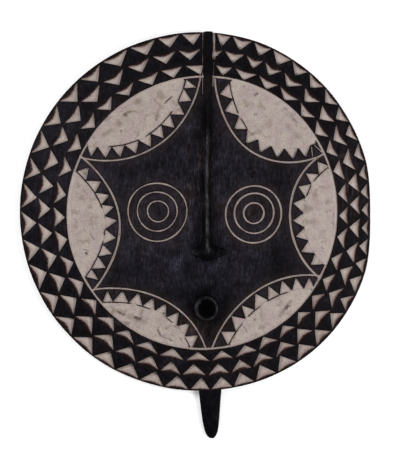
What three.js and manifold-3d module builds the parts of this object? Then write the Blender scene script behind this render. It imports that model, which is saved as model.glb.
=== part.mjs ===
// A carved sun mask: one piece of wood that lies face up, hollow behind, with a grip at the bottom edge.
// The face carries three rows of triangular pits, six leaf-shaped fields with teeth, two ringed eyes,
// a ridge for the nose and a pierced ring for the mouth.
//
// Millimetres. X runs to the right of the face, Y up the face, Z out of the face.
// A bearing is in degrees, clockwise from the top, about the middle of the carved circle.

import * as THREE from 'three';
import { ConvexGeometry } from 'three/addons/geometries/ConvexGeometry.js';
import { mergeVertices } from 'three/addons/utils/BufferGeometryUtils.js';
import loadManifold from 'manifold-3d';

const wasm = await loadManifold();
wasm.setup();

// The disc. A wave is [how many per turn, size, bearing of its first peak times that number].
const disc = {
  radius: 285.5,
  waves: [[1, 7.3, -77], [2, 2.1, -22], [3, 1.6, 57], [4, 0.7, 152]],
  flatSide: 270,
  flatBlend: 10,
  rimThickness: 18,
  rise: 34,
  hollowDepth: 37,
  hollowShare: 0.89,
  chamfer: 1.6,
  segments: 80,
  domeRings: [[1, 80], [0.9, 40], [0.64, 30], [0.38, 16], [0.16, 8], [0, 1]],
  hollowRings: [[1, 48], [0.8, 32], [0.5, 20], [0.2, 10], [0, 1]],
};

const grip = { length: 78.4, top: -283, width: 36.5, taper: 15, bluntness: 8, lift: 1.2, thickness: 14 };
const gripMiddle = { root: 12.6, tip: 15 };

const circle = { radius: 215.8, waves: [[1, 1.0, 57], [2, 1.8, 40], [3, 0.9, 92]], width: 3.8, depth: 2.2 };

// Rows of triangular pits from the rim inwards. Radii are for the mean disc and follow its outline in part.
const pitRows = [
  {
    count: 46, start: -5.41, waves: [[1, 9.66, 8], [2, 0.84, -7], [4, 0.81, -49]],
    base: 282.8, baseFollow: 1, apex: 264.4, apexFollow: 0.43, depth: 5.5,
  },
  {
    count: 41, start: -0.04, waves: [[1, 1.68, -13], [2, 1.11, -52], [4, 0.89, -60]],
    base: 261, baseFollow: 0.43, apex: 242.6, apexFollow: 0.26, depth: 5,
  },
  {
    count: 38, start: 4.77, waves: [[1, 2.89, 13], [3, 0.59, -64]],
    base: 237.5, baseFollow: 0.23, apex: 222.6, apexFollow: 0.05, depth: 4.5,
  },
];
const pitShare = 0.91;

// Leaf-shaped fields inside the circle: bearings of the two tips, how near the arc comes to the middle,
// the arc's unevenness, the number of teeth, and the shares of the arc where they begin and end.
const leaves = [
  { from: 5.4, to: 64.1, near: 123.7, bow: [3.5, 2.9, 2.0], teeth: 8, first: 0.003, last: 0.944, ease: 0.067 },
  { from: 64.1, to: 118.4, near: 139.4, bow: [0.5, -0.6, -1.4], teeth: 8, first: 0.025, last: 0.951, ease: -0.019 },
  { from: 118.4, to: 175.5, near: 150.6, bow: [1.2, -2.1, -1.0], teeth: 8, first: 0.047, last: 0.944, ease: -0.063 },
  { from: 179.1, to: 234.9, near: 151, bow: [0.5, -1.8, -1.0], teeth: 8, first: 0.044, last: 0.922, ease: 0.003 },
  { from: 234.9, to: 294.8, near: 132, bow: [1.4, -0.1, 0.9], teeth: 9, first: 0.042, last: 0.953, ease: -0.016 },
  { from: 294.8, to: 358.8, near: 129.3, bow: [0.0, -0.6, -0.4], teeth: 10, first: 0.039, last: 0.975, ease: -0.005 },
];
const tooth = { apexGap: 4.3, base: 21.5, share: 0.93, depth: 3.2 };
const field = { ridge: 2.2, depth: 1.5, columns: 14, tipShare: 0.96 };
const leafLine = { width: 3.4, depth: 2, segments: 18 };

const eyes = [
  { x: -71.4, y: 1.8, radii: [17.4, 32.6, 48.5] },
  { x: 82.4, y: -1.3, radii: [17.4, 32, 46] },
];
const eyeLine = { width: 3.3, depth: 1.8, facet: 11 };

// The nose runs down from the rim: places along it, with its half width and height above the face.
const nose = {
  stations: [
    { x: 10.4, y: 290.3, half: 7, height: 5.5 },
    { x: 10, y: 200, half: 8.3, height: 9 },
    { x: 8.2, y: 0, half: 8.3, height: 14 },
    { x: 8, y: -34, half: 9.5, height: 20 },
    { x: 7.4, y: -58, half: 25, height: 26 },
    { x: 6.4, y: -75, half: 3, height: 4 },
  ],
  crest: 0.22,
  shoulder: 0.42,
  sink: 6,
};

const mouth = { x: 5.5, y: -150, outer: 20.5, crest: 15.8, hole: 12.6, height: 16, facets: 24 };

const woodColour = 0x2b2623;

// Height of the volume that cutters keep above the surface that they cut.
const clearance = 4;

function waveSum(bearing, waves) {
  const terms = waves.map(([order, size, peak]) => size * Math.cos(THREE.MathUtils.degToRad(order * bearing - peak)));
  return terms.reduce((sum, term) => sum + term, 0);
}

function polar(radius, bearing) {
  const angle = THREE.MathUtils.degToRad(bearing);
  return new THREE.Vector2(radius * Math.sin(angle), radius * Math.cos(angle));
}

function bearingOf(point) {
  return THREE.MathUtils.radToDeg(Math.atan2(point.x, point.y));
}

// The rim: a circle with a slow wobble, planed flat on one side.
function rimRadius(bearing) {
  const round = disc.radius + waveSum(bearing, disc.waves);
  const sine = Math.sin(THREE.MathUtils.degToRad(bearing));
  if (sine < 0.5) return round;
  const flat = disc.flatSide / sine;
  const share = THREE.MathUtils.clamp(0.5 + 0.5 * (flat - round) / disc.flatBlend, 0, 1);
  return THREE.MathUtils.lerp(flat, round, share) - disc.flatBlend * share * (1 - share);
}

function faceHeight(x, y) {
  const share = Math.hypot(x, y) / rimRadius(bearingOf({ x, y }));
  return disc.rimThickness + disc.rise * (1 - share * share);
}

function onFace(point, above = 0) {
  return new THREE.Vector3(point.x, point.y, faceHeight(point.x, point.y) + above);
}

// A closed solid from a three.js geometry.
function solid(geometry) {
  geometry.deleteAttribute('normal');
  geometry.deleteAttribute('uv');
  const merged = mergeVertices(geometry, 1e-4);
  const index = merged.index.array;
  const kept = [];
  for (let i = 0; i < index.length; i += 3) {
    const [a, b, c] = index.slice(i, i + 3);
    if (a !== b && b !== c && c !== a) kept.push(a, b, c);
  }
  const vertProperties = new Float32Array(merged.attributes.position.array);
  return new wasm.Manifold(new wasm.Mesh({ numProp: 3, vertProperties, triVerts: new Uint32Array(kept) }));
}

// Joins rings of points, all of one length, into a closed solid. A closed run joins its last ring to its first.
function loft(rings, closed = false) {
  const size = rings[0].length;
  const positions = rings.flat().flatMap((p) => [p.x, p.y, p.z]);
  const index = [];
  const runs = closed ? rings.length : rings.length - 1;
  for (let i = 0; i < runs; i += 1) {
    const here = i * size;
    const next = ((i + 1) % rings.length) * size;
    for (let j = 0; j < size; j += 1) {
      const k = (j + 1) % size;
      index.push(here + j, here + k, next + k, here + j, next + k, next + j);
    }
  }
  if (!closed) {
    const last = (rings.length - 1) * size;
    for (let j = 1; j < size - 1; j += 1) {
      index.push(0, j + 1, j, last, last + j, last + j + 1);
    }
  }
  const geometry = new THREE.BufferGeometry();
  geometry.setAttribute('position', new THREE.Float32BufferAttribute(positions, 3));
  geometry.setIndex(index);
  return solid(geometry);
}

// A rounded form given by rings of points: the hull of all of them. Each ring is [share of the rim's
// radius, height, number of points].
function hullOfRings(rings) {
  const points = [];
  for (const [share, height, count] of rings) {
    for (let i = 0; i < count; i += 1) {
      const bearing = 360 * i / count;
      const point = polar(share * rimRadius(bearing), bearing);
      points.push(new THREE.Vector3(point.x, point.y, height));
    }
  }
  return solid(new ConvexGeometry(points));
}

function plainDisc() {
  const edge = 1 - disc.chamfer / disc.radius;
  const dome = disc.domeRings.map(([share, count]) => [
    share * edge, disc.rimThickness + disc.rise * (1 - share * share), count]);
  const front = hullOfRings([...dome, [1, disc.rimThickness - disc.chamfer, disc.segments], [1, 0, disc.segments]]);
  const vault = disc.hollowRings.map(([share, count]) => [
    share * disc.hollowShare, disc.hollowDepth * (1 - share * share), count]);
  const below = [disc.hollowShare, -clearance, disc.hollowRings[0][1]];
  return front.subtract(hullOfRings([...vault, below]));
}

// The grip is a tongue that narrows to a round end, with its edges bevelled.
function gripSolid() {
  const places = [-0.16, 0.3, 0.6, 0.8, 0.9, 0.96, 0.99];
  const rings = places.map((share) => {
    const along = Math.max(share, 0);
    const width = (grip.width - grip.taper * along) * Math.sqrt(1 - along ** grip.bluntness);
    const middle = THREE.MathUtils.lerp(gripMiddle.root, gripMiddle.tip, along);
    const y = grip.top - grip.length * share;
    const half = width / 2;
    const bevel = Math.min(4, half * 0.5);
    const top = grip.thickness * (1 - 0.25 * along);
    const corners = [[-half, bevel], [-half + bevel, 0], [half - bevel, 0], [half, bevel],
      [half, top - bevel], [half - bevel, top], [-half + bevel, top], [-half, top - bevel]];
    return corners.map(([x, z]) => new THREE.Vector3(middle + x, y, grip.lift + z));
  });
  return loft(rings);
}

function noseSolid() {
  const rings = nose.stations.map(({ x, y, half, height }) => {
    const foot = faceHeight(x, y);
    const section = [[-half, -nose.sink], [half, -nose.sink], [half * 0.95, nose.shoulder * height],
      [half * nose.crest, height], [-half * nose.crest, height], [-half * 0.95, nose.shoulder * height]];
    return section.map(([across, up]) => new THREE.Vector3(x + across, y, foot + up));
  });
  return loft(rings);
}

function mouthRing() {
  const foot = faceHeight(mouth.x, mouth.y);
  const inner = mouth.hole - 2;
  const profile = [[inner, -8], [mouth.outer + 1.5, -8], [mouth.outer, mouth.height * 0.3],
    [mouth.outer - 1.5, mouth.height * 0.75], [mouth.crest + 1.2, mouth.height],
    [mouth.crest - 1.2, mouth.height], [inner, mouth.height * 0.8], [inner, -8]];
  const points = profile.map(([radius, height]) => new THREE.Vector2(radius, height));
  const geometry = new THREE.LatheGeometry(points, mouth.facets);
  geometry.rotateX(Math.PI / 2);
  geometry.translate(mouth.x, mouth.y, foot);
  return solid(geometry);
}

function mouthHole() {
  const length = 3 * (disc.rimThickness + disc.rise);
  const geometry = new THREE.CylinderGeometry(mouth.hole, mouth.hole, length, mouth.facets);
  geometry.rotateX(Math.PI / 2);
  geometry.translate(mouth.x, mouth.y, 0);
  return solid(geometry);
}

// A triangular pit: deepest at its apex, with its floor rising to the surface at its base.
function pit(baseLeft, baseRight, apex, depth) {
  const centre = new THREE.Vector2().add(baseLeft).add(baseRight).add(apex).divideScalar(3);
  const lip = -0.35;
  const bottom = apex.clone().lerp(centre, 0.12);
  const points = [onFace(baseLeft, clearance), onFace(baseRight, clearance), onFace(apex, clearance),
    onFace(baseLeft, lip), onFace(baseRight, lip), onFace(bottom, -depth)];
  return solid(new ConvexGeometry(points));
}

// A V-shaped groove along a line of points on the face.
function groove(points, width, depth, closed) {
  const rings = points.map((point, i) => {
    const before = points[closed ? (i + points.length - 1) % points.length : Math.max(i - 1, 0)];
    const after = points[closed ? (i + 1) % points.length : Math.min(i + 1, points.length - 1)];
    const along = after.clone().sub(before).normalize();
    const across = new THREE.Vector2(-along.y, along.x).multiplyScalar(width / 2 * (1 + 1 / depth));
    return [onFace(point, -depth), onFace(point.clone().add(across), 1), onFace(point.clone().sub(across), 1)];
  });
  return loft(rings, closed);
}

function pitBearing(row, place) {
  return row.start + 360 * place / row.count + waveSum(360 * place / row.count, row.waves);
}

function rowPits(row) {
  const radius = (mean, follow, bearing) => mean + follow * (rimRadius(bearing) - disc.radius);
  const pits = [];
  for (let k = 0; k < row.count; k += 1) {
    const middle = pitBearing(row, k);
    const half = pitShare / 2 * (pitBearing(row, k + 0.5) - pitBearing(row, k - 0.5));
    const [left, right] = [middle - half, middle + half];
    pits.push(pit(
      polar(radius(row.base, row.baseFollow, left), left),
      polar(radius(row.base, row.baseFollow, right), right),
      polar(radius(row.apex, row.apexFollow, middle), middle),
      row.depth,
    ));
  }
  return pits;
}

// A leaf's arc is part of a circle whose middle lies far out along the leaf's own bearing.
function leafArc(leaf) {
  const half = THREE.MathUtils.degToRad((leaf.to - leaf.from) / 2);
  const middle = (leaf.from + leaf.to) / 2;
  const tip = circle.radius;
  const reach = (tip ** 2 - leaf.near ** 2) / (2 * (tip * Math.cos(half) - leaf.near));
  const radius = reach - leaf.near;
  const sweep = Math.atan2(tip * Math.sin(half), reach - tip * Math.cos(half));
  const out = polar(1, middle);
  const clockwise = polar(1, middle + 90);
  const point = (share, inset) => {
    const bow = leaf.bow.reduce((sum, size, i) => sum + size * Math.sin((i + 1) * Math.PI * share), 0);
    const angle = sweep * (2 * share - 1);
    const distance = radius - bow - inset;
    return out.clone().multiplyScalar(reach - distance * Math.cos(angle))
      .addScaledVector(clockwise, distance * Math.sin(angle));
  };
  return { middle, reach, radius, sweep, point };
}

function leafTeeth(leaf) {
  const arc = leafArc(leaf);
  const valley = (share) => leaf.first + (leaf.last - leaf.first) * (share + leaf.ease * Math.sin(Math.PI * share));
  const teeth = [];
  for (let k = 0; k < leaf.teeth; k += 1) {
    const from = valley(k / leaf.teeth);
    const to = valley((k + 1) / leaf.teeth);
    const middle = (from + to) / 2;
    const half = (to - from) / 2 * tooth.share;
    teeth.push(pit(arc.point(middle - half, tooth.base), arc.point(middle + half, tooth.base),
      arc.point(middle, tooth.apexGap), tooth.depth));
  }
  return teeth;
}

// The pale field is a thin layer cut away between the teeth and the circle.
function leafField(leaf) {
  const arc = leafArc(leaf);
  const inset = tooth.base + field.ridge;
  const inner = arc.radius - inset;
  const cosine = (arc.reach ** 2 + inner ** 2 - circle.radius ** 2) / (2 * arc.reach * inner);
  const angle = Math.acos(cosine);
  const spread = THREE.MathUtils.radToDeg(Math.atan2(inner * Math.sin(angle), arc.reach - inner * cosine));
  const rings = [];
  for (let i = 0; i <= field.columns; i += 1) {
    const share = field.tipShare * Math.sin(Math.PI * (i / field.columns - 0.5));
    const start = arc.point(0.5 + 0.5 * share * angle / arc.sweep, inset);
    const bearing = arc.middle + share * spread;
    const end = polar(circle.radius + waveSum(bearing, circle.waves), bearing);
    const middle = start.clone().lerp(end, 0.5);
    rings.push([onFace(start, -field.depth), onFace(middle, -field.depth), onFace(end, -field.depth),
      onFace(end, clearance), onFace(middle, clearance), onFace(start, clearance)]);
  }
  return loft(rings);
}

function leafGroove(leaf) {
  const arc = leafArc(leaf);
  const points = [];
  for (let i = 0; i <= leafLine.segments; i += 1) {
    points.push(arc.point(i / leafLine.segments, 0));
  }
  return groove(points, leafLine.width, leafLine.depth, false);
}

function circleGroove() {
  const points = [];
  for (let i = 0; i < disc.segments; i += 1) {
    const bearing = -360 * i / disc.segments;
    points.push(polar(circle.radius + waveSum(bearing, circle.waves), bearing));
  }
  return groove(points, circle.width, circle.depth, true);
}

function eyeGrooves(eye) {
  return eye.radii.map((radius) => {
    const steps = Math.round(2 * Math.PI * radius / eyeLine.facet);
    const points = [];
    for (let i = 0; i < steps; i += 1) {
      points.push(polar(radius, -360 * i / steps).add(eye));
    }
    return groove(points, eyeLine.width, eyeLine.depth, true);
  });
}

function carvedMask() {
  let wood = plainDisc();
  const cuts = [circleGroove(), ...pitRows.flatMap(rowPits), ...eyes.flatMap(eyeGrooves)];
  for (const leaf of leaves) {
    cuts.push(leafField(leaf), leafGroove(leaf), ...leafTeeth(leaf));
  }
  for (const cut of cuts) {
    wood = wood.subtract(cut);
  }
  return wood.add(gripSolid()).add(noseSolid()).add(mouthRing()).subtract(mouthHole());
}

// The part's own zero is the middle of its outline, on the surface that it lies on.
function centredGeometry(manifold) {
  const mesh = manifold.getMesh();
  const geometry = new THREE.BufferGeometry();
  geometry.setAttribute('position', new THREE.BufferAttribute(new Float32Array(mesh.vertProperties), 3));
  geometry.setIndex(new THREE.BufferAttribute(new Uint32Array(mesh.triVerts), 1));
  geometry.computeBoundingBox();
  const middle = geometry.boundingBox.getCenter(new THREE.Vector3());
  geometry.translate(-middle.x, -middle.y, -geometry.boundingBox.min.z);
  geometry.computeVertexNormals();
  return geometry;
}

const mask = new THREE.Mesh(
  centredGeometry(carvedMask()),
  new THREE.MeshStandardMaterial({ color: woodColour, roughness: 0.7, metalness: 0 }),
);
mask.name = 'mask';

const part = new THREE.Group();
part.add(mask);

export default part;
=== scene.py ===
import math

import bmesh
import bpy
import numpy as np
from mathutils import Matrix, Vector, kdtree, noise


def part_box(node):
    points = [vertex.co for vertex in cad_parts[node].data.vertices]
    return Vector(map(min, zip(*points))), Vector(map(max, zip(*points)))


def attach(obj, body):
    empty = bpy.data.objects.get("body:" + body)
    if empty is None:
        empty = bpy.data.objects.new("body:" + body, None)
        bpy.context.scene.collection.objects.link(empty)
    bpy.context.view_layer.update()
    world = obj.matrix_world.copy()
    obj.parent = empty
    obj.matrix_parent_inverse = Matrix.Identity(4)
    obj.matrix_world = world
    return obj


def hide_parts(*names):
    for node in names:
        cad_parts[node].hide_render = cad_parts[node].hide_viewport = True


# A carved sun mask that lies face up. Lengths are millimetres from the middle of the carved circle, and a
# bearing is in degrees, clockwise from the top of the face. The carving is cut with the face laid level, so
# that a height of zero is the untouched face. The result is then lifted onto the dome and into the frame.

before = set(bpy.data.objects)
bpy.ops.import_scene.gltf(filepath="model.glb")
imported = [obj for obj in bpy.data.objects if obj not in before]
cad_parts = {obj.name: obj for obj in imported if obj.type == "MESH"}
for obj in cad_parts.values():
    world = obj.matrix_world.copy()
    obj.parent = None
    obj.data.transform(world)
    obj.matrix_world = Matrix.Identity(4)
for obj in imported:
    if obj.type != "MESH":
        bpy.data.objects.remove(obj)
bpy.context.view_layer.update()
print("frame loaded")


# Outline and dome of the disc. A wave is (how many per turn, size, bearing of its peak times that number).
# The side planed flat faces right, and leastSine keeps it off the rest of the outline.
disc = {
    "radius": 285.5,
    "waves": ((1, 7.3, -77), (2, 2.1, -22), (3, 1.6, 57), (4, 0.7, 152)),
    "flatSide": 270.0,
    "flatBlend": 10.0,
    "leastSine": 0.4,
    "rimThickness": 18.0,
    "rise": 34.0,
    "hollowDepth": 37.0,
    "hollowShare": 0.89,
    "edgeRadius": 1.8,
    "edgeTurns": (25, 50, 75),
    "edgeRings": 6,
    "sharpAngle": 32.0,
    "frontSpacing": 3.3,
    "frontShares": (0.012, 0.999),
    "backSpacing": 4.6,
    "backShares": (0.985, 0.014),
}
adzeStroke = {"depth": 1.5, "length": 34.0, "width": 20.0, "sway": 0.4, "layer": 0.5, "fade": 4.0}


def waveSum(bearing, waves):
    return sum(size * np.cos(np.radians(order * bearing - peak)) for order, size, peak in waves)


# Puts x, y and height side by side, a row for each point. A single number serves for every point.
def asPoints(*axes):
    return np.stack(np.broadcast_arrays(*axes), axis=-1)


def polar(radius, bearing):
    angle = np.radians(bearing)
    return asPoints(radius * np.sin(angle), radius * np.cos(angle))


def bearingOf(x, y):
    return np.degrees(np.arctan2(x, y))


def rimRadius(bearing):
    turned = disc["radius"] + waveSum(bearing, disc["waves"])
    planed = disc["flatSide"] / np.maximum(np.sin(np.radians(bearing)), disc["leastSine"])
    share = np.clip(0.5 + 0.5 * (planed - turned) / disc["flatBlend"], 0, 1)
    return planed + (turned - planed) * share - disc["flatBlend"] * share * (1 - share)


# Distance from the middle as a share of the way to the rim.
def rimShare(x, y):
    return np.hypot(x, y) / rimRadius(bearingOf(x, y))


def faceHeight(x, y):
    return disc["rimThickness"] + disc["rise"] * (1 - rimShare(x, y) ** 2)


def placeObject(name, data):
    thing = bpy.data.objects.new(name, data)
    bpy.context.scene.collection.objects.link(thing)
    return thing


def newPiece(name, vertices, faces, edges=()):
    mesh = bpy.data.meshes.new(name)
    mesh.from_pydata([tuple(v) for v in vertices], list(edges), faces)
    mesh.update()
    return placeObject(name, mesh)


def turnFacesOut(piece):
    shell = bmesh.new()
    shell.from_mesh(piece.data)
    bmesh.ops.recalc_face_normals(shell, faces=shell.faces)
    shell.to_mesh(piece.data)
    shell.free()
    return piece


def spokeCount(radius, spacing):
    return 2 ** max(3, round(math.log2(2 * math.pi * radius / spacing)))


def ringPoints(share, inset, count, level):
    bearing = 360 * np.arange(count) / count
    x, y = polar(share * rimRadius(bearing) - inset, bearing).T
    return asPoints(x, y, level(x, y))


# Shallow dishes left by an adze, longer along the grain.
def strokeHeight(x, y):
    along = y / adzeStroke["length"]
    across = x / adzeStroke["width"] + adzeStroke["sway"] * math.sin(along)
    distances = noise.voronoi(Vector((across, along, adzeStroke["layer"])))[0]
    return adzeStroke["depth"] * (1 - min(distances[0], 1) ** 2)


def hollowLevel(x, y):
    vault = disc["hollowDepth"] * np.maximum(1 - (rimShare(x, y) / disc["hollowShare"]) ** 2, 0)
    strokes = np.array([strokeHeight(px, py) for px, py in zip(x, y)])
    return vault + strokes * np.minimum(vault / adzeStroke["fade"], 1) - faceHeight(x, y)


# Rings of points from the middle of the face, over the rounded rim, to the middle of the hollow.
def blankRings():
    radius, edge, thickness = disc["radius"], disc["edgeRadius"], disc["rimThickness"]
    rings = []
    for share in np.linspace(*disc["frontShares"], round(radius / disc["frontSpacing"])):
        count = spokeCount(share * radius, disc["frontSpacing"])
        rings.append(ringPoints(share, edge * share, count, lambda x, y: 0))
    most = len(rings[-1])
    turns = np.radians(disc["edgeTurns"])
    corner = [(edge * (1 - math.sin(turn)), edge * (1 - math.cos(turn))) for turn in turns]
    for inset, drop in corner:
        rings.append(ringPoints(1, inset, most, lambda x, y: -drop))
    for height in np.linspace(thickness - edge, edge, disc["edgeRings"]):
        rings.append(ringPoints(1, 0, most, lambda x, y: height - faceHeight(x, y)))
    for inset, drop in reversed(corner):
        rings.append(ringPoints(1, inset, most, lambda x, y: drop - faceHeight(x, y)))
    for share in np.linspace(*disc["backShares"], round(radius / disc["backSpacing"])):
        rings.append(ringPoints(share, 0, spokeCount(share * radius, disc["backSpacing"]), hollowLevel))
    return rings


# Faces between two rings of vertex numbers, where one may have half as many as the other.
def stripFaces(first, second):
    if len(first) < len(second):
        return [face[::-1] for face in stripFaces(second, first)]
    faces = []
    for k, here in enumerate(second):
        after = second[(k + 1) % len(second)]
        if len(first) == len(second):
            faces.append((first[k], first[(k + 1) % len(first)], after, here))
        else:
            start, middle, end = (first[(2 * k + step) % len(first)] for step in range(3))
            faces.extend([(start, middle, here), (middle, after, here), (middle, end, after)])
    return faces


# Joins rings of points into one closed piece, with a point in the middle of each end.
def ringedPiece(name, rings):
    vertices = [rings[0].mean(axis=0)]
    loops = []
    for points in rings:
        loops.append(range(len(vertices), len(vertices) + len(points)))
        vertices.extend(points)
    last = len(vertices)
    vertices.append(rings[-1].mean(axis=0))
    faces = [(0, here, loops[0][(k + 1) % len(loops[0])]) for k, here in enumerate(loops[0])]
    for first, second in zip(loops, loops[1:]):
        faces.extend(stripFaces(first, second))
    faces.extend((last, loops[-1][(k + 1) % len(loops[-1])], here) for k, here in enumerate(loops[-1]))
    return turnFacesOut(newPiece(name, vertices, faces))


# Closes the space between two grids of points, the lower one first.
def sheetFaces(columns, rows, first=0):
    top = columns * rows
    faces = []
    for i in range(columns - 1):
        for j in range(rows - 1):
            corner = first + i * rows + j
            square = (corner, corner + rows, corner + rows + 1, corner + 1)
            faces.append(square)
            faces.append(tuple(v + top for v in reversed(square)))
    border = [i * rows for i in range(columns)] + [(columns - 1) * rows + j for j in range(1, rows)]
    border += [i * rows + rows - 1 for i in reversed(range(columns - 1))] + list(range(rows - 2, 0, -1))
    for here, after in zip(border, border[1:] + border[:1]):
        faces.append((first + here, first + here + top, first + after + top, first + after))
    return faces


carving = ringedPiece("carving", blankRings())
print("blank ready:", len(carving.data.vertices), "points")


def newTree(name, sockets):
    tree = bpy.data.node_groups.new(name, "GeometryNodeTree")
    tree.is_modifier = True
    tree.interface.new_socket("Geometry", in_out="INPUT", socket_type="NodeSocketGeometry")
    for label, value in sockets.items():
        kind = "Material" if value is None else "Int" if isinstance(value, int) else "Float"
        socket = tree.interface.new_socket(label, in_out="INPUT", socket_type="NodeSocket" + kind)
        if value is not None:
            socket.default_value = value
    tree.interface.new_socket("Geometry", in_out="OUTPUT", socket_type="NodeSocketGeometry")
    return tree


# Gives a node its inputs, as links or as plain values.
def fillInputs(tree, node, inputs):
    for key, value in inputs.items():
        if isinstance(value, bpy.types.NodeSocket):
            tree.links.new(value, node.inputs[key])
        else:
            node.inputs[key].default_value = value
    return node


def addNode(tree, kind, inputs, **settings):
    node = tree.nodes.new(kind)
    for name, setting in settings.items():
        setattr(node, name, setting)
    return fillInputs(tree, node, inputs)


def mathNode(tree, operation, *values, clamp=False):
    node = addNode(tree, "ShaderNodeMath", dict(enumerate(values)), operation=operation, use_clamp=clamp)
    return node.outputs[0]


def plus(tree, a, b):
    return mathNode(tree, "ADD", a, b)


def minus(tree, a, b):
    return mathNode(tree, "SUBTRACT", a, b)


def times(tree, a, b):
    return mathNode(tree, "MULTIPLY", a, b)


def vectorMath(tree, operation, *values, output=0):
    node = addNode(tree, "ShaderNodeVectorMath", dict(enumerate(values)), operation=operation)
    return node.outputs[output]


def scaleVector(tree, vector, factor):
    return addNode(tree, "ShaderNodeVectorMath", {0: vector, 3: factor}, operation="SCALE").outputs[0]


def combineAxes(tree, *values):
    return addNode(tree, "ShaderNodeCombineXYZ", dict(enumerate(values))).outputs[0]


def mixNumbers(tree, factor, a, b):
    return addNode(tree, "ShaderNodeMix", {0: factor, 2: a, 3: b}, data_type="FLOAT").outputs[0]


def mixPlaces(tree, factor, a, b):
    mix = addNode(tree, "ShaderNodeMix", {0: factor, 4: a, 5: b}, data_type="VECTOR", clamp_factor=False)
    return mix.outputs[1]


def readAttribute(tree, name, kind):
    node = addNode(tree, "GeometryNodeInputNamedAttribute", {"Name": name}, data_type=kind)
    return node.outputs["Attribute"]


# Ends a tree of cutters with real geometry and the material that the modifier gives it.
def finishTree(tree, geometry, material):
    whole = addNode(tree, "GeometryNodeRealizeInstances", {"Geometry": geometry})
    done = addNode(tree, "GeometryNodeSetMaterial", {"Geometry": whole.outputs[0], "Material": material})
    addNode(tree, "NodeGroupOutput", {0: done.outputs[0]})
    return tree


def storeValue(mesh, name, values):
    mesh.attributes.new(name, "FLOAT", "POINT").data.foreach_set("value", np.asarray(values, dtype=float))


def keepResult(piece):
    depsgraph = bpy.context.evaluated_depsgraph_get()
    mesh = bpy.data.meshes.new_from_object(piece.evaluated_get(depsgraph), depsgraph=depsgraph)
    piece.modifiers.clear()
    piece.data = mesh


# Runs a node tree on a piece and keeps the result as its plain mesh.
def shapeByTree(piece, tree, values):
    modifier = piece.modifiers.new(tree.name, "NODES")
    modifier.node_group = tree
    for item in tree.interface.items_tree:
        if item.in_out == "INPUT" and item.name in values:
            modifier[item.identifier] = values[item.name]
    keepResult(piece)
    return turnFacesOut(piece)


# How the cutters are welded, and how shallow and how narrow the dip at the base of a wedge may get.
cutterLook = {"blockWeld": 0.001, "weld": 0.005, "leastDip": 0.06, "leastEdge": 0.001}


# Turns each point into the wedge that a knife takes out of the wood. The point carries the wedge's three
# corners on the face. The floor dips a little from the base to a curved edge, and then slopes to the apex.
def wedgeTree():
    tree = newTree("Wedge cutters", {
        "Depth": 5.0, "Slope": 1.0, "Lip": 0.9, "Flare": 0.05, "Headroom": 4.0, "Divisions": 9,
        "Material": None})
    given = tree.nodes.new("NodeGroupInput").outputs
    grid = addNode(tree, "GeometryNodeMeshGrid", {
        "Size X": 1.0, "Size Y": 1.0, "Vertices X": given["Divisions"], "Vertices Y": given["Divisions"]})
    floor = addNode(tree, "GeometryNodeTransform", {
        "Geometry": grid.outputs["Mesh"], "Translation": (0.5, 0.5, 0)})
    raised = addNode(tree, "GeometryNodeExtrudeMesh", {
        "Mesh": floor.outputs[0], "Offset": (0, 0, 1), "Offset Scale": 1.0, "Individual": False})
    turned = addNode(tree, "GeometryNodeFlipFaces", {"Mesh": floor.outputs[0]})
    shell = addNode(tree, "GeometryNodeJoinGeometry", {0: raised.outputs["Mesh"]})
    tree.links.new(turned.outputs["Mesh"], shell.inputs[0])
    block = addNode(tree, "GeometryNodeMergeByDistance", {
        "Geometry": shell.outputs[0], "Distance": cutterLook["blockWeld"]})
    place = tree.nodes.new("GeometryNodeInputPosition").outputs[0]
    marked = addNode(tree, "GeometryNodeStoreNamedAttribute", {
        "Geometry": block.outputs[0], "Name": "place", "Value": place}, data_type="FLOAT_VECTOR")
    copies = addNode(tree, "GeometryNodeInstanceOnPoints", {
        "Points": given["Geometry"], "Instance": marked.outputs[0]})
    wedges = addNode(tree, "GeometryNodeRealizeInstances", {"Geometry": copies.outputs[0]})

    left, right, apex = (readAttribute(tree, name, "FLOAT_VECTOR") for name in ("left", "right", "apex"))
    across, inwards, upwards = addNode(tree, "ShaderNodeSeparateXYZ", {
        0: readAttribute(tree, "place", "FLOAT_VECTOR")}).outputs
    onFloor = mixPlaces(tree, inwards, mixPlaces(tree, across, left, right), apex)
    centre = mixPlaces(tree, 1 / 3, mixPlaces(tree, 0.5, left, right), apex)
    onTop = mixPlaces(tree, plus(tree, 1.0, given["Flare"]), centre, onFloor)
    flat = mixPlaces(tree, upwards, onFloor, onTop)

    falling = minus(tree, 4.0, times(tree, across, 4.0))
    arch = times(tree, across, falling)
    edge = times(tree, arch, readAttribute(tree, "bow", "FLOAT"))
    reach = plus(tree, edge, cutterLook["leastEdge"])
    dip = mathNode(tree, "DIVIDE", inwards, reach, clamp=True)
    past = minus(tree, inwards, edge)
    slope = mathNode(tree, "DIVIDE", past, minus(tree, 1.0, edge), clamp=True)
    sunk = times(tree, mathNode(tree, "POWER", slope, given["Slope"]), given["Depth"])
    depth = plus(tree, sunk, mixNumbers(tree, dip, cutterLook["leastDip"], given["Lip"]))
    height = mixNumbers(tree, upwards, times(tree, depth, -1.0), given["Headroom"])
    position = vectorMath(tree, "ADD", flat, combineAxes(tree, 0.0, 0.0, height))
    shaped = addNode(tree, "GeometryNodeSetPosition", {"Geometry": wedges.outputs[0], "Position": position})
    welded = addNode(tree, "GeometryNodeMergeByDistance", {
        "Geometry": shaped.outputs[0], "Distance": cutterLook["weld"]})
    return finishTree(tree, welded.outputs[0], given["Material"])


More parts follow.
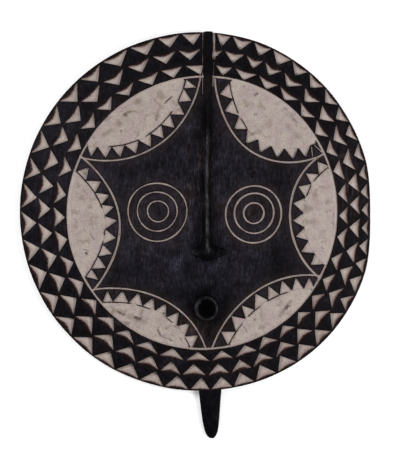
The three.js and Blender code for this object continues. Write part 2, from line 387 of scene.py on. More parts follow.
# Sweeps a V section along each line of the piece. The line's radius makes the cut wider and deeper.
def grooveTree():
    tree = newTree("Groove cutters", {
        "Width": 3.6, "Depth": 2.0, "Bottom Width": 0.6, "Headroom": 1.5, "Material": None})
    given = tree.nodes.new("NodeGroupInput").outputs
    half = times(tree, given["Width"], 0.5)
    bottom = times(tree, given["Bottom Width"], 0.5)
    splay = mathNode(tree, "DIVIDE", minus(tree, half, bottom), given["Depth"])
    top = plus(tree, half, times(tree, splay, given["Headroom"]))
    above = times(tree, given["Headroom"], -1.0)
    below = given["Depth"]
    corners = {}
    ends = (top, 1.0, above), (top, -1.0, above), (bottom, -1.0, below), (bottom, 1.0, below)
    for number, (width, side, level) in enumerate(ends, 1):
        corners["Point %d" % number] = combineAxes(tree, times(tree, width, side), level)
    section = addNode(tree, "GeometryNodeCurvePrimitiveQuadrilateral", corners, mode="POINTS")
    lines = addNode(tree, "GeometryNodeMeshToCurve", {"Mesh": given["Geometry"]})
    upright = addNode(tree, "GeometryNodeSetCurveNormal", {"Curve": lines.outputs[0]}, mode="Z_UP")
    sized = addNode(tree, "GeometryNodeSetCurveRadius", {
        "Curve": upright.outputs[0], "Radius": readAttribute(tree, "size", "FLOAT")})
    swept = addNode(tree, "GeometryNodeCurveToMesh", {
        "Curve": sized.outputs[0], "Profile Curve": section.outputs[0],
        "Scale": readAttribute(tree, "size", "FLOAT"), "Fill Caps": True})
    return finishTree(tree, swept.outputs[0], given["Material"])


wedgeCutters = wedgeTree()
grooveCutters = grooveTree()
hand = np.random.default_rng(7)


# Wedges with their corners given as three lists of points on the face, and how far each base bows inwards.
def wedgePiece(name, left, right, apex, bow, look):
    piece = newPiece(name, np.zeros((len(left), 3)), [])
    for label, points in (("left", left), ("right", right), ("apex", apex)):
        attribute = piece.data.attributes.new(label, "FLOAT_VECTOR", "POINT")
        attribute.data.foreach_set("vector", np.pad(np.array(points), ((0, 0), (0, 1))).ravel())
    storeValue(piece.data, "bow", bow)
    return shapeByTree(piece, wedgeCutters, {
        "Depth": look["depth"], "Slope": look["slope"], "Lip": look["lip"]})


# Grooves along lines of points on the face, each with a size at every point. A closed line meets itself.
def groovePiece(name, lines, closed, look):
    vertices, edges, sizes = [], [], []
    for line, size in lines:
        start, count = len(vertices), len(line)
        vertices.extend((x, y, 0) for x, y in line)
        edges.extend((start + k, start + (k + 1) % count) for k in range(count if closed else count - 1))
        sizes.extend(size)
    piece = newPiece(name, vertices, [], edges)
    storeValue(piece.data, "size", sizes)
    return shapeByTree(piece, grooveCutters, {"Width": look["width"], "Depth": look["depth"]})


# How a hand-cut line swells and thins along its way. Each kind of line reads its own layer of the noise.
handLine = {"scale": 14.0, "arcLayer": 1.7, "circleLayer": 4.4, "straightLayer": 8.1}


def unevenSize(line, amount, layer):
    scale = handLine["scale"]
    return np.array([1 + amount * noise.noise(Vector((x / scale, y / scale, layer))) for x, y in line])


# Three rows of triangular pits from the rim inwards. The base and the apex have a radius, how far they
# follow the outline of the disc, and waves. The bow is how far the base curves in towards the apex. The pits
# to the left and right of the nose stop at an x of their own, and have their own apex, moved in x, and bow.
pitRows = (
    {"count": 46, "start": -5.6, "waves": ((1, 9.6, 9), (2, 0.95, -7), (3, 0.34, -36), (4, 0.75, -41)),
     "base": (284.6, 1.0, ((1, 0.3, 245), (2, 0.3, 31))),
     "apex": (264.2, 0.52, ((1, 1.4, 12), (2, 0.9, 33), (3, 0.6, -110))),
     "fill": 0.94, "bow": (0.22, ((1, 0.09, -52), (2, 0.08, -157))), "depth": 5.0,
     "besideNose": ((-1.4, -1.3, 0.06), (23.4, 3.9, 0.1))},
    {"count": 41, "start": -0.24,
     "waves": ((1, 1.75, -1), (2, 1.15, -48), (3, 0.8, -16), (4, 0.78, -61), (5, 0.33, -50)),
     "base": (261.4, 0.44, ((2, 0.4, 34),)), "apex": (242.1, 0.25, ((1, 0.9, 21), (2, 0.9, -7))),
     "fill": 0.94, "bow": (0.25, ((2, 0.04, 16),)), "depth": 4.5,
     "besideNose": ((-1.0, 0.4, 0.35), (18.6, 0.0, 0.2))},
    {"count": 38, "start": 4.73, "waves": ((1, 3.03, 16), (2, 0.49, 72), (3, 0.43, -68), (4, 0.31, 104)),
     "base": (237.6, 0.12, ((2, 0.45, 64), (3, 0.6, 119))),
     "apex": (220.5, 0.0, ((1, 0.6, 79), (2, 1.26, 28), (3, 0.8, 108))),
     "fill": 0.94, "bow": (0.22, ()), "depth": 4.0,
     "besideNose": ((2.4, 7.5, 0.06), (21.8, 4.3, 0.2))},
)
pitLook = {
    "noseBearing": 2.1,
    "lip": 0.9,
    "slope": 0.85,
    "fillWaves": ((1, 0.03, 165), (2, 0.02, 36)),
    "mostFill": 0.98,
    "unevenBearing": 0.28,
    "unevenRadius": 0.6,
    "unevenFill": 0.03,
    "unevenBow": 0.05,
    "bowRange": (0.04, 0.6),
}


def pitBearing(row, place):
    turned = 360 * place / row["count"]
    return row["start"] + turned + waveSum(turned, row["waves"])


def pitRadius(level, bearing):
    radius, follow, waves = level
    return radius + follow * (rimRadius(bearing) - disc["radius"]) + waveSum(bearing, waves)


def stopAtNose(row, middle, bases, apex, bow):
    fromNose = (middle - pitLook["noseBearing"] + 180) % 360 - 180
    for side, corners, (stop, aside, bowed) in zip((-1, 1), reversed(bases), row["besideNose"]):
        nearest = np.argmin(np.where(fromNose * side > 0, fromNose * side, 360))
        corners[nearest, 0] = stop
        apex[nearest, 0] += aside
        bow[nearest] = bowed


def byHand(key, count):
    return pitLook[key] * hand.normal(0, 1, count)


def pitRowPiece(number, row):
    count = row["count"]
    aside = byHand("unevenBearing", count)
    joints = pitBearing(row, np.arange(count + 1) - 0.5) + np.append(aside, aside[0])
    middle = (joints[1:] + joints[:-1]) / 2
    fill = row["fill"] + waveSum(middle, pitLook["fillWaves"]) + byHand("unevenFill", count)
    half = np.minimum(fill, pitLook["mostFill"]) / 2 * (joints[1:] - joints[:-1])
    bases = []
    for side in (middle - half, middle + half):
        deeper = pitLook["unevenRadius"] * hand.uniform(0, 1, count)
        bases.append(polar(pitRadius(row["base"], side) - deeper, side))
    pointed = middle + byHand("unevenBearing", count)
    apex = polar(pitRadius(row["apex"], middle) + byHand("unevenRadius", count), pointed)
    mean, waves = row["bow"]
    bow = mean + waveSum(middle, waves) + byHand("unevenBow", count)
    stopAtNose(row, middle, bases, apex, bow)
    bow = np.clip(bow, *pitLook["bowRange"])
    return wedgePiece("pitRow%d" % number, *bases, apex, bow, {**pitLook, "depth": row["depth"]})


# The circle inside the rows, and the six leaf-shaped fields that hang from it. A leaf has the bearings of
# its tips, how near its arc comes to the middle, and the arc's unevenness. Its teeth stand between a base
# and a gap, both measured in from the arc, whose cut line has a size. Then come the shares of the arc where
# one tooth meets the next, how far each leans, and where a dark line still parts the teeth from the field.
circleLine = {
    "radius": 215.8,
    "waves": ((1, 1.0, 57), (2, 1.8, 40), (3, 0.9, 92)),
    "width": 3.8,
    "depth": 2.0,
    "step": 1.5,
}
leaves = (
    {"from": 5.5, "to": 64.3, "near": 122.8, "bow": (3.8, 2.7, 1.4),
     "line": 0.97, "gap": 5.2, "base": 22.2,
     "joints": (0.020, 0.148, 0.287, 0.414, 0.529, 0.643, 0.745, 0.849, 0.949),
     "leans": (0.12, -0.01, 0.02, 0.06, -0.01, 0.07, 0.07, -0.12),
     "scored": ((0.0, 0.27), (0.31, 0.42))},
    {"from": 64.1, "to": 118.9, "near": 139.1, "bow": (0.5, -1.2, -0.5),
     "line": 1.15, "gap": 4.6, "base": 21.6,
     "joints": (0.016, 0.126, 0.225, 0.346, 0.477, 0.601, 0.713, 0.837, 0.956),
     "leans": (-0.04, 0.08, 0.04, 0.02, -0.01, -0.02, -0.02, -0.07),
     "scored": ((0.03, 0.2), (0.23, 0.34))},
    {"from": 117.8, "to": 175.6, "near": 150.9, "bow": (0.6, -1.1, -0.2),
     "line": 0.87, "gap": 2.9, "base": 22.2,
     "joints": (0.043, 0.132, 0.228, 0.335, 0.439, 0.577, 0.681, 0.815, 0.944),
     "leans": (-0.02, 0.03, 0.01, 0.02, -0.07, 0.0, -0.09, -0.06),
     "scored": ((0.26, 0.46), (0.51, 0.66), (0.72, 0.97))},
    {"from": 178.4, "to": 235.2, "near": 151.0, "bow": (0.4, -1.7, 0.0),
     "line": 0.89, "gap": 3.2, "base": 21.6,
     "joints": (0.034, 0.155, 0.264, 0.375, 0.484, 0.594, 0.714, 0.846, 0.930),
     "leans": (0.11, 0.05, 0.05, 0.07, -0.01, -0.01, -0.08, -0.05),
     "scored": ((0.04, 0.15), (0.3, 0.37), (0.52, 0.65), (0.69, 0.98))},
    {"from": 234.4, "to": 295.2, "near": 131.9, "bow": (1.4, -0.1, 1.6),
     "line": 1.06, "gap": 4.5, "base": 22.7,
     "joints": (0.042, 0.116, 0.227, 0.327, 0.445, 0.544, 0.631, 0.735, 0.853, 0.953),
     "leans": (0.05, 0.06, 0.03, 0.02, 0.08, 0.07, -0.06, -0.1, 0.03),
     "scored": ((0.03, 0.36), (0.39, 0.45), (0.6, 0.98))},
    {"from": 294.5, "to": 359.3, "near": 128.9, "bow": (0.1, -0.5, 0.4),
     "line": 0.84, "gap": 3.7, "base": 21.7,
     "joints": (0.033, 0.106, 0.210, 0.301, 0.405, 0.503, 0.601, 0.698, 0.803, 0.908, 0.974),
     "leans": (0.03, 0.06, 0.01, 0.04, 0.04, 0.02, -0.02, -0.01, -0.08, -0.06),
     "scored": ((0.18, 0.42), (0.46, 0.73), (0.8, 0.98))},
)
toothLook = {
    "fill": 0.97,
    "depth": 2.4,
    "slope": 0.25,
    "lip": 0.6,
    "unevenGap": 0.5,
    "unevenBase": 0.3,
}
fieldLook = {
    "ridge": 2.4,
    "overlap": 0.6,
    "fade": 0.012,
    "wear": 0.45,
    "wearCount": 26.0,
    "wearLayer": 0.3,
    "depth": 1.5,
    "uneven": 0.3,
    "unevenAcross": 22.0,
    "unevenAlong": 34.0,
    "unevenLayer": 3.1,
    "columns": 90,
    "rows": 12,
    "tipShare": 0.97,
    "headroom": 4.0,
}
leafLine = {"width": 3.4, "depth": 1.9, "points": 60, "uneven": 0.3}


def circleRadius(bearing):
    return circleLine["radius"] + waveSum(bearing, circleLine["waves"])


# A leaf's arc is part of a circle whose middle lies far out along the leaf's own bearing. The returned
# function gives the point at a share of the arc, set in towards the leaf's own middle.
def leafArc(leaf):
    half = math.radians((leaf["to"] - leaf["from"]) / 2)
    middle = (leaf["from"] + leaf["to"]) / 2
    tip, near = circleLine["radius"], leaf["near"]
    reach = (tip ** 2 - near ** 2) / (2 * (tip * math.cos(half) - near))
    sweep = math.atan2(tip * math.sin(half), reach - tip * math.cos(half))
    out, clockwise = polar(1, middle), polar(1, middle + 90)

    def point(share, inset):
        bow = sum(size * math.sin((i + 1) * math.pi * share) for i, size in enumerate(leaf["bow"]))
        angle = sweep * (2 * share - 1)
        distance = reach - near - bow - inset
        return out * (reach - distance * math.cos(angle)) + clockwise * distance * math.sin(angle)
    return middle, reach, sweep, point


def toothCorners(leaf):
    point = leafArc(leaf)[3]
    corners = []
    for start, end, lean in zip(leaf["joints"], leaf["joints"][1:], leaf["leans"]):
        centre, half = (start + end) / 2, (end - start) / 2 * toothLook["fill"]
        gap = leaf["gap"] + hand.uniform(-1, 1) * toothLook["unevenGap"]
        base = leaf["base"] + hand.uniform(-1, 1) * toothLook["unevenBase"]
        pointed = centre + lean * (end - start)
        corners.append((point(centre - half, base), point(centre + half, base), point(pointed, gap)))
    return corners


# How much of the ridge between the teeth and the field is left at a share of the arc.
def ridgeLeft(leaf, share):
    left = 0
    for start, end in leaf["scored"]:
        into, outOf = (share - start) / fieldLook["fade"], (end - share) / fieldLook["fade"]
        left = max(left, min(into, outOf, 1))
    spot = Vector((share * fieldLook["wearCount"], leaf["near"], fieldLook["wearLayer"]))
    worn = 0.5 + 0.5 * noise.noise(spot)
    return left * (1 - fieldLook["wear"] * worn)


# The pale field is a thin sheet taken away between the teeth and the circle.
def fieldSheet(leaf):
    middle, reach, sweep, point = leafArc(leaf)
    inset = leaf["base"] + fieldLook["ridge"]
    inner = reach - leaf["near"] - inset
    cosine = (reach ** 2 + inner ** 2 - circleLine["radius"] ** 2) / (2 * reach * inner)
    angle = math.acos(cosine)
    spread = math.degrees(math.atan2(inner * math.sin(angle), reach - inner * cosine))
    columns, rows = fieldLook["columns"], fieldLook["rows"]
    floor, roof = [], []
    for i in range(columns + 1):
        place = fieldLook["tipShare"] * math.sin(math.pi * (i / columns - 0.5))
        share = 0.5 + 0.5 * place * angle / sweep
        removed = (1 - ridgeLeft(leaf, share)) * (fieldLook["ridge"] + fieldLook["overlap"])
        start = point(share, inset - removed)
        end = polar(circleRadius(middle + place * spread), middle + place * spread)
        for j in range(rows + 1):
            x, y = start + (end - start) * j / rows
            spot = x / fieldLook["unevenAcross"], y / fieldLook["unevenAlong"], fieldLook["unevenLayer"]
            rough = fieldLook["uneven"] * noise.noise(Vector(spot))
            floor.append((x, y, rough - fieldLook["depth"]))
            roof.append((x, y, fieldLook["headroom"]))
    return floor + roof


def leafPieces():
    corners = [corner for leaf in leaves for corner in toothCorners(leaf)]
    teeth = wedgePiece("teeth", *zip(*corners), np.zeros(len(corners)), toothLook)
    vertices, faces = [], []
    for leaf in leaves:
        faces.extend(sheetFaces(fieldLook["columns"] + 1, fieldLook["rows"] + 1, len(vertices)))
        vertices.extend(fieldSheet(leaf))
    pieces = [teeth, turnFacesOut(newPiece("fields", vertices, faces))]
    shares = np.linspace(0, 1, leafLine["points"])
    for name, some in (("oddArcs", leaves[0::2]), ("evenArcs", leaves[1::2])):
        sized = []
        for leaf in some:
            line = [leafArc(leaf)[3](share, 0) for share in shares]
            sized.append((line, leaf["line"] * unevenSize(line, leafLine["uneven"], handLine["arcLayer"])))
        pieces.append(groovePiece(name, sized, False, leafLine))
    return pieces


def circlePiece():
    bearings = np.arange(0, 360, circleLine["step"])
    line = polar(circleRadius(bearings), bearings)
    sizes = unevenSize(line, leafLine["uneven"], handLine["circleLayer"])
    return groovePiece("circle", [(line, sizes)], True, circleLine)


# Three rings for each eye, as x, y and radius, drawn by hand and so neither quite round nor about one middle.
eyes = (
    {"rings": ((-70.1, 2.6, 16.8), (-71.3, 2.4, 31.6), (-71.0, 1.5, 46.6)), "size": 0.72,
     "waves": ((2, 0.008, -158), (3, 0.012, -160))},
    {"rings": ((82.7, -0.2, 16.2), (83.1, -0.3, 31.5), (82.1, -2.1, 44.7)), "size": 0.9,
     "waves": ((2, 0.014, 41), (3, 0.006, 120))},
)
eyeLine = {"width": 3.3, "depth": 1.8, "uneven": 0.45, "pointsPerRadius": 2}


def eyePiece():
    lines = []
    for eye in eyes:
        for x, y, radius in eye["rings"]:
            bearings = np.linspace(0, 360, round(radius * eyeLine["pointsPerRadius"]), endpoint=False)
            line = polar(radius * (1 + waveSum(bearings, eye["waves"])), bearings) + (x, y)
            lines.append((line, unevenSize(line, eyeLine["uneven"], radius) * eye["size"]))
    return groovePiece("eyes", lines, True, eyeLine)


# Straight lines, each with its ends and its size at both: those that run down beside the nose from the rim,
# and two short ones that the knife left at the tip of the first leaf.
straightLines = (
    {"from": (1.4, 292.0), "to": (0.8, 189.0), "sizes": (0.9, 0.45)},
    {"from": (18.9, 292.0), "to": (20.2, 244.0), "sizes": (1.55, 1.35)},
    {"from": (19.6, 246.0), "to": (17.4, 201.0), "sizes": (0.65, 0.7)},
    {"from": (174.9, 105.6), "to": (176.6, 88.9), "sizes": (0.75, 0.6)},
    {"from": (178.8, 109.0), "to": (192.6, 96.2), "sizes": (0.65, 0.75)},
)
straightCut = {"width": 2.6, "depth": 1.7, "points": 24, "uneven": 0.4}


def straightPiece():
    lines = []
    for ends in straightLines:
        shares = np.linspace(0, 1, straightCut["points"])
        line = np.array([np.interp(shares, (0, 1), pair) for pair in zip(ends["from"], ends["to"])]).T
        uneven = unevenSize(line, straightCut["uneven"], handLine["straightLayer"])
        lines.append((line, np.interp(shares, (0, 1), ends["sizes"]) * uneven))
    return groovePiece("straightLines", lines, False, straightCut)


# The nose: along the ridge its y, its middle, half width, height, how hollow its sides are, and the swell
# of the nostrils.
nose = {
    "places": (
        (290.3, 10.2, 6.6, 5.5, 1.0, 0), (200, 9.7, 7.0, 9.0, 1.1, 0), (140, 9.0, 8.0, 10.5, 1.1, 0),
        (60, 7.3, 8.2, 12.5, 1.2, 0), (0, 8.0, 8.3, 14.0, 1.2, 0), (-34, 8.6, 9.2, 20.0, 1.4, 0),
        (-50, 8.6, 11.5, 24.5, 1.6, 1), (-54, 9.2, 15, 25.5, 2, 2), (-56.5, 10.6, 26.5, 26, 2.6, 5),
        (-61, 11, 29, 25, 2.8, 5.5), (-67, 10.8, 27, 19, 2.6, 4), (-70.5, 10, 18.5, 11, 2, 2),
        (-75.5, 8.4, 7, 3, 1.2, 0)),
    "crest": 0.2,
    "crestDrop": 0.03,
    "nostril": 0.8,
    "nostrilWidth": 0.17,
    "sink": 6.5,
    "step": 2.6,
}
noseAcross = (0.0, 0.1, 0.2, 0.28, 0.38, 0.5, 0.6, 0.7, 0.8, 0.9, 1.0)


def noseSection(x, half, height, hollow, swell):
    points = []
    for across in [-share for share in reversed(noseAcross[1:])] + list(noseAcross):
        aside = abs(across)
        slope = (1 - max(aside - nose["crest"], 0) / (1 - nose["crest"])) ** hollow
        drop = nose["crestDrop"] * min(aside / nose["crest"], 1) ** 2
        bulge = swell * math.exp(-((aside - nose["nostril"]) / nose["nostrilWidth"]) ** 2)
        points.append((x + half * across, height * max(slope - drop, 0) + bulge))
    return points


def nosePiece():
    places = np.array(nose["places"])
    ys = np.append(np.arange(places[0, 0], places[-1, 0], -nose["step"]), places[-1, 0])
    floor, ridge = [], []
    for y in ys:
        values = [np.interp(-y, -places[:, 0], places[:, i]) for i in range(1, places.shape[1])]
        for x, height in noseSection(*values):
            floor.append((x, y, -nose["sink"]))
            ridge.append((x, y, height))
    faces = sheetFaces(len(ys), 2 * len(noseAcross) - 1)
    return turnFacesOut(newPiece("nose", floor + ridge, faces))


# The mouth is a ring around a hole that goes right through. A profile runs along the axis as radius, height.
mouth = {
    "x": 6.6,
    "y": -151.6,
    "tall": 1.06,
    "outer": ((0, -6), (21.4, -6), (20.9, 0), (20.2, 3), (19.6, 8), (18.9, 12), (17.9, 14.8),
              (16.6, 16), (0, 16)),
    "inner": ((0, -70), (13.5, -70), (13.5, -20), (13.5, 6), (13.7, 10), (14.1, 12.8), (14.8, 14.7),
              (16.0, 16), (17.6, 20), (0, 20)),
    "innerAside": (1.1, -0.9),
    "spokes": 72,
}


def mouthPiece(name, profile, aside):
    bearings = np.linspace(0, 360, mouth["spokes"], endpoint=False)
    middleX, middleY = mouth["x"] + aside[0], mouth["y"] + aside[1]
    rings = []
    for radius, height in profile[1:-1]:
        x, y = polar(radius, bearings).T
        rings.append(asPoints(middleX + x, middleY + y * mouth["tall"], height))
    return ringedPiece(name, rings)


# The grip under the chin: a flat tongue that narrows to a blunt tip.
grip = {
    "top": -283.0,
    "length": 78.4,
    "width": 36.5,
    "taper": 15.0,
    "bluntness": 8,
    "lift": 1.2,
    "thickness": 14.0,
    "thinning": 0.25,
    "rounding": 4.5,
    "fullness": 0.98,
    "rootX": 12.6,
    "tipX": 15.0,
    "rootShare": -0.16,
    "tipShare": 0.992,
    "stations": 40,
    "around": 40,
}


def gripPiece():
    turns = np.radians(360 * np.arange(grip["around"]) / grip["around"])
    rings = []
    reach = 1 - grip["rootShare"]
    for step in np.linspace(0, 1, grip["stations"]):
        share = min(grip["rootShare"] + reach * math.sin(step * math.pi / 2), grip["tipShare"])
        past = max(share, 0)
        half = (grip["width"] - grip["taper"] * share) * math.sqrt(1 - past ** grip["bluntness"]) / 2
        high = grip["thickness"] * (1 - grip["thinning"] * past)
        middle, tall = (grip["lift"] + high) / 2, (high - grip["lift"]) / 2
        corner = min(grip["rounding"], half, tall) * grip["fullness"]
        x, z = (turned * corner + np.sign(turned.round(6)) * (size - corner)
                for turned, size in ((np.cos(turns), half), (np.sin(turns), tall)))
        x = x + grip["rootX"] + (grip["tipX"] - grip["rootX"]) * share
        y = grip["top"] - grip["length"] * share
        rings.append(asPoints(x, y, z + middle - faceHeight(x, y)))
        if share == grip["tipShare"]:
            break
    return ringedPiece("grip", rings)


def combine(piece, operation, others):
    for other in others:
        modifier = piece.modifiers.new(other.name, "BOOLEAN")
        modifier.operation = operation
        modifier.object = other
        modifier.solver = "MANIFOLD"
    keepResult(piece)
    for other in others:
        bpy.data.objects.remove(other)


chip = {
    "left": (2.5, -118.0),
    "right": (9.5, -119.0),
    "apex": (6.5, -128.5),
    "bow": 0.1,
    "depth": 1.0,
    "lip": 0.2,
    "slope": 0.6,
}
chipCorners = [[chip[key]] for key in ("left", "right", "apex", "bow")]

combine(carving, "DIFFERENCE", [pitRowPiece(number + 1, row) for number, row in enumerate(pitRows)])
combine(carving, "DIFFERENCE", leafPieces() + [circlePiece(), eyePiece(), straightPiece()])
combine(carving, "DIFFERENCE", [wedgePiece("chip", *chipCorners, chip)])
combine(carving, "UNION", [nosePiece(), mouthPiece("mouthRing", mouth["outer"], (0, 0)), gripPiece()])
combine(carving, "DIFFERENCE", [mouthPiece("mouthHole", mouth["inner"], mouth["innerAside"])])
print("carving cut:", len(carving.data.vertices), "points")


# What the shaders read at each point: how deep the cut is for the pigment that lies in it, where one is the
# depth at which it starts, the dust that it leaves around the cuts, how brown it is where it thins out, how
# chalky where it lies thick, with painted light on the pits at the sides, how far the stain is rubbed from
# soot, which also stands for painted shade, to black, where it has gone brown, the painted highlight on the
# nose and the lip, whether the point is in the hollow back, and how far the stain has run over onto it. A
# place on the face is its x, y, reach across, reach along and amount.
pigmentDepth = {"pits": 1.25, "lines": 0.35, "most": 4.0, "rimMargin": 0.5, "rowMargin": 3.0}
bareSpots = ((mouth["x"], mouth["y"], 23.0), (6.5, -122.0, 9.0))
backLevel = -13.0
backShare = 0.998
dusting = {"from": 0.3, "edge": 2.2, "reach": (3.5, 7.0), "amount": (0.55, 1.0)}
# Raised parts take the darkest stain, which is soot and, on the nose's sides and foot, painted shade. The
# edge darkens the face along the cut edges as painted shade.
rubbingAndShade = {"rows": 0.12, "face": 0.74, "blend": 8.0, "raised": 0.0, "above": 0.25, "edge": 0.85}
# The places lighten or darken the stain. Those that darken it beside the nose, under its foot and around the
# mouth ring are painted shade.
rubbedAndShadedPlaces = (
    (-75, -70, 48, 26, 0.16), (-36, -78, 9, 18, 0.2), (-5, 62, 9, 120, -0.22), (0, -61, 34, 13, -0.5),
    (6, -124, 16, 12, -0.35), (3, 180, 30, 55, -0.4), (135, 10, 45, 130, -0.32), (136, -102, 34, 32, -0.62),
    (-130, -104, 45, 28, -0.38), (-70, -134, 48, 20, -0.5), (-130, 70, 40, 38, -0.22),
    (-235, 70, 60, 110, 0.45), (118, 88, 26, 26, -0.3), (56, -150, 28, 26, -0.34),
    (38, -142, 4, 30, -0.4), (235, 80, 50, 90, 0.14), (6, -178, 50, 24, -0.5), (-62, 54, 70, 16, -0.2),
    (81, 38, 16, 30, -0.24), (84, -140, 20, 18, -0.18), (-50, -72, 14, 16, -0.15), (49, 85, 16, 14, 0.26),
    (-47, -108, 18, 14, 0.14), (-14, -11, 12, 16, 0.15), (-48, 104, 20, 26, -0.2), (20, 116, 10, 30, -0.4),
    (140, -8, 20, 18, -0.12), (mouth["x"], mouth["y"], 36, 36, -0.6))
# Painted highlights on the nose's foot.
highlightPlaces = (
    (-15.5, -61.5, 2.4, 6.0, 0.4), (-11.0, -57.2, 3.0, 1.6, 0.4), (-6.0, -63.0, 8.0, 2.4, 0.2),
    (4.0, -63.5, 8.0, 2.2, 0.2), (38.5, -61.0, 2.4, 6.0, 0.1))
brownPlaces = (
    (2, 60, 34, 110, 0.36), (81, 0, 15, 15, 0.5), (92, -52, 20, 10, 0.3), (29, -62, 11, 7, 0.45),
    (235, 60, 50, 100, 0.3), (-118, 158, 50, 36, 0.6), (-40, -188, 50, 24, 0.6), (-112, -162, 40, 22, 0.5))
# The last of the shade places, at the bottom, paints shade on the pits there.
pitShade = {"cover": (1.0, 2.6), "amount": 0.25, "places": (
    (190, -150, 110, 100, 0.45), (250, 20, 50, 80, 0.35), (0, -240, 150, 24, 0.28))}
# The chalk places paint light on the pits: paler on the left and right, where side light falls on their
# sloping floors, duller at the bottom and upper left.
pitChalkAndLight = {"cover": (1.4, 3.2), "amount": 0.5, "places": (
    (255, 10, 60, 130, 0.5), (-255, 10, 60, 130, 0.4), (0, -235, 260, 120, -0.48), (-190, 190, 80, 80, -0.2))}
hazePlaces = ((-125, 160, 50, 40, 0.09), (-192, 30, 26, 60, 0.05), (-75, -172, 50, 22, 0.04))
# The painted highlight along the nose's crest, by nearness to the ridge line and place along it, and on the
# top of the mouth's lip, patchy around it.
wear = {
    "crest": 1.4,
    "crestFade": 1.6,
    "crestAlong": ((-76, 0.0), (-66, 0.05), (-62, 0.6), (-58, 0.75), (-43, 0.75), (-40, 0.1), (-37, 0.1),
                   (-34, 1.0), (60, 1.0), (100, 0.7), (130, 0.3), (145, 0.0)),
    "lip": 12.5,
    "lipFade": 2.5,
    "lipShare": 0.6,
    "lipReach": 25.0,
    "lipWaves": ((2, 0.4, 150), (3, 0.2, 150), (5, 0.25, 60)),
}
stainRun = {"shares": (0.92, 0.99), "uneven": 1.1, "scale": 24.0}
handWobble = {
    "aside": 0.5, "asideScale": 60.0, "height": 0.35, "heightScale": 38.0, "layers": (20.0, 50.0, 90.0)}


def pointsOf(mesh):
    places = np.empty(3 * len(mesh.vertices))
    mesh.vertices.foreach_get("co", places)
    return places.reshape(-1, 3)


def pigmentAt(x, y, level):
    bearing, radius = bearingOf(x, y), np.hypot(x, y)
    inRows = radius > circleRadius(bearing) + pigmentDepth["rowMargin"]
    cover = -level / np.where(inRows, pigmentDepth["pits"], pigmentDepth["lines"])
    cover = np.clip(cover, 0, pigmentDepth["most"])
    cover[(radius > rimRadius(bearing) - pigmentDepth["rimMargin"]) | (level < backLevel)] = 0
    for spotX, spotY, reach in bareSpots:
        cover[np.hypot(x - spotX, y - spotY) < reach] = 0
    return cover


# How far inside the circle a point is, from 0 in the rows to 1 on the face.
def faceShare(x, y):
    within = circleRadius(bearingOf(x, y)) - np.hypot(x, y)
    return np.clip(0.5 + within / rubbingAndShade["blend"], 0, 1)


# How far each point of the front is from the nearest one that holds pigment.
def awayFromPigment(x, y, level, pigment):
    painted = pigment > dusting["from"]
    cuts = kdtree.KDTree(int(painted.sum()))
    for k in np.flatnonzero(painted):
        cuts.insert((x[k], y[k], 0), k)
    cuts.balance()
    away = np.zeros(len(x))
    for k in np.flatnonzero(~painted & (level > backLevel)):
        away[k] = cuts.find((x[k], y[k], 0))[2]
    return away


def dustAt(x, y, away):
    share = faceShare(x, y)
    amount, reach = (np.interp(share, (0, 1), dusting[key]) for key in ("amount", "reach"))
    return amount * np.exp(-away / reach) * (1 - np.exp(-(away / dusting["edge"]) ** 2))


def placesSum(x, y, places):
    return sum(amount * np.exp(-((x - middleX) / across) ** 2 - ((y - middleY) / along) ** 2)
               for middleX, middleY, across, along, amount in places)


# How brown the pigment is where it thins out towards the bowed side of a pit, and in the duller fields.
def shadeAt(x, y, pigment):
    shallow = np.interp(pigment, pitShade["cover"], (1, 0)) * (1 - faceShare(x, y))
    shaded = shallow * (pitShade["amount"] + placesSum(x, y, pitShade["places"]))
    return shaded + placesSum(x, y, hazePlaces) * faceShare(x, y)


# How chalky the pigment is where it lies thick, towards the apex of a pit, with painted light: paler on the
# left and right of the rows, and duller at the bottom and upper left.
def chalkAndLightAt(x, y, pigment):
    thick = np.interp(pigment, pitChalkAndLight["cover"], (0, 1)) * (1 - faceShare(x, y))
    return thick * (pitChalkAndLight["amount"] + placesSum(x, y, pitChalkAndLight["places"]))


def rubbedAndShadedAt(x, y, level, away):
    rubbedAndShaded = rubbingAndShade["rows"] + (rubbingAndShade["face"] - rubbingAndShade["rows"]) * faceShare(x, y)
    rubbedAndShaded = np.clip(rubbedAndShaded + placesSum(x, y, rubbedAndShadedPlaces), rubbingAndShade["raised"], 1)
    # Painted shade: the stain darkens along the cut edges, and raised parts take the darkest stain, which on
    # the nose is shade as well as soot.
    rubbedAndShaded *= 1 - rubbingAndShade["edge"] * np.exp(-(away / dusting["edge"]) ** 2)
    isRaised = (level > rubbingAndShade["above"]) | (y < grip["top"])
    return np.where(isRaised, rubbingAndShade["raised"], rubbedAndShaded)


# The painted highlight on the nose's crest and foot and on the top of the mouth's lip.
def highlightAt(x, y, level):
    places = np.array(nose["places"])
    aside = abs(x - np.interp(-y, -places[:, 0], places[:, 1]))
    along = np.interp(y, *zip(*wear["crestAlong"]))
    crest = np.clip((wear["crest"] + wear["crestFade"] - aside) / wear["crestFade"], 0, 1) * along
    crest = np.maximum(crest, placesSum(x, y, highlightPlaces))
    crest[level < rubbingAndShade["above"]] = 0
    fromMouth = x - mouth["x"], y - mouth["y"]
    nearMouth = np.hypot(*fromMouth) < wear["lipReach"]
    patchy = 1 + waveSum(bearingOf(*fromMouth), wear["lipWaves"])
    lip = np.clip((level - wear["lip"]) / wear["lipFade"], 0, wear["lipShare"]) * patchy * nearMouth
    return np.maximum(crest, lip)


# The slow wobble along each axis, read from its own layer of the noise. noise_vector isn't used, because it
# gives other values on each run.
def wobbleAt(places):
    wobble = np.empty_like(places)
    for axis, (way, layer) in enumerate(zip(("aside", "aside", "height"), handWobble["layers"])):
        size, scale = handWobble[way], handWobble[way + "Scale"]
        wobble[:, axis] = [size * noise.noise(Vector((x, y, layer)) / scale) for x, y, level in places]
    return wobble


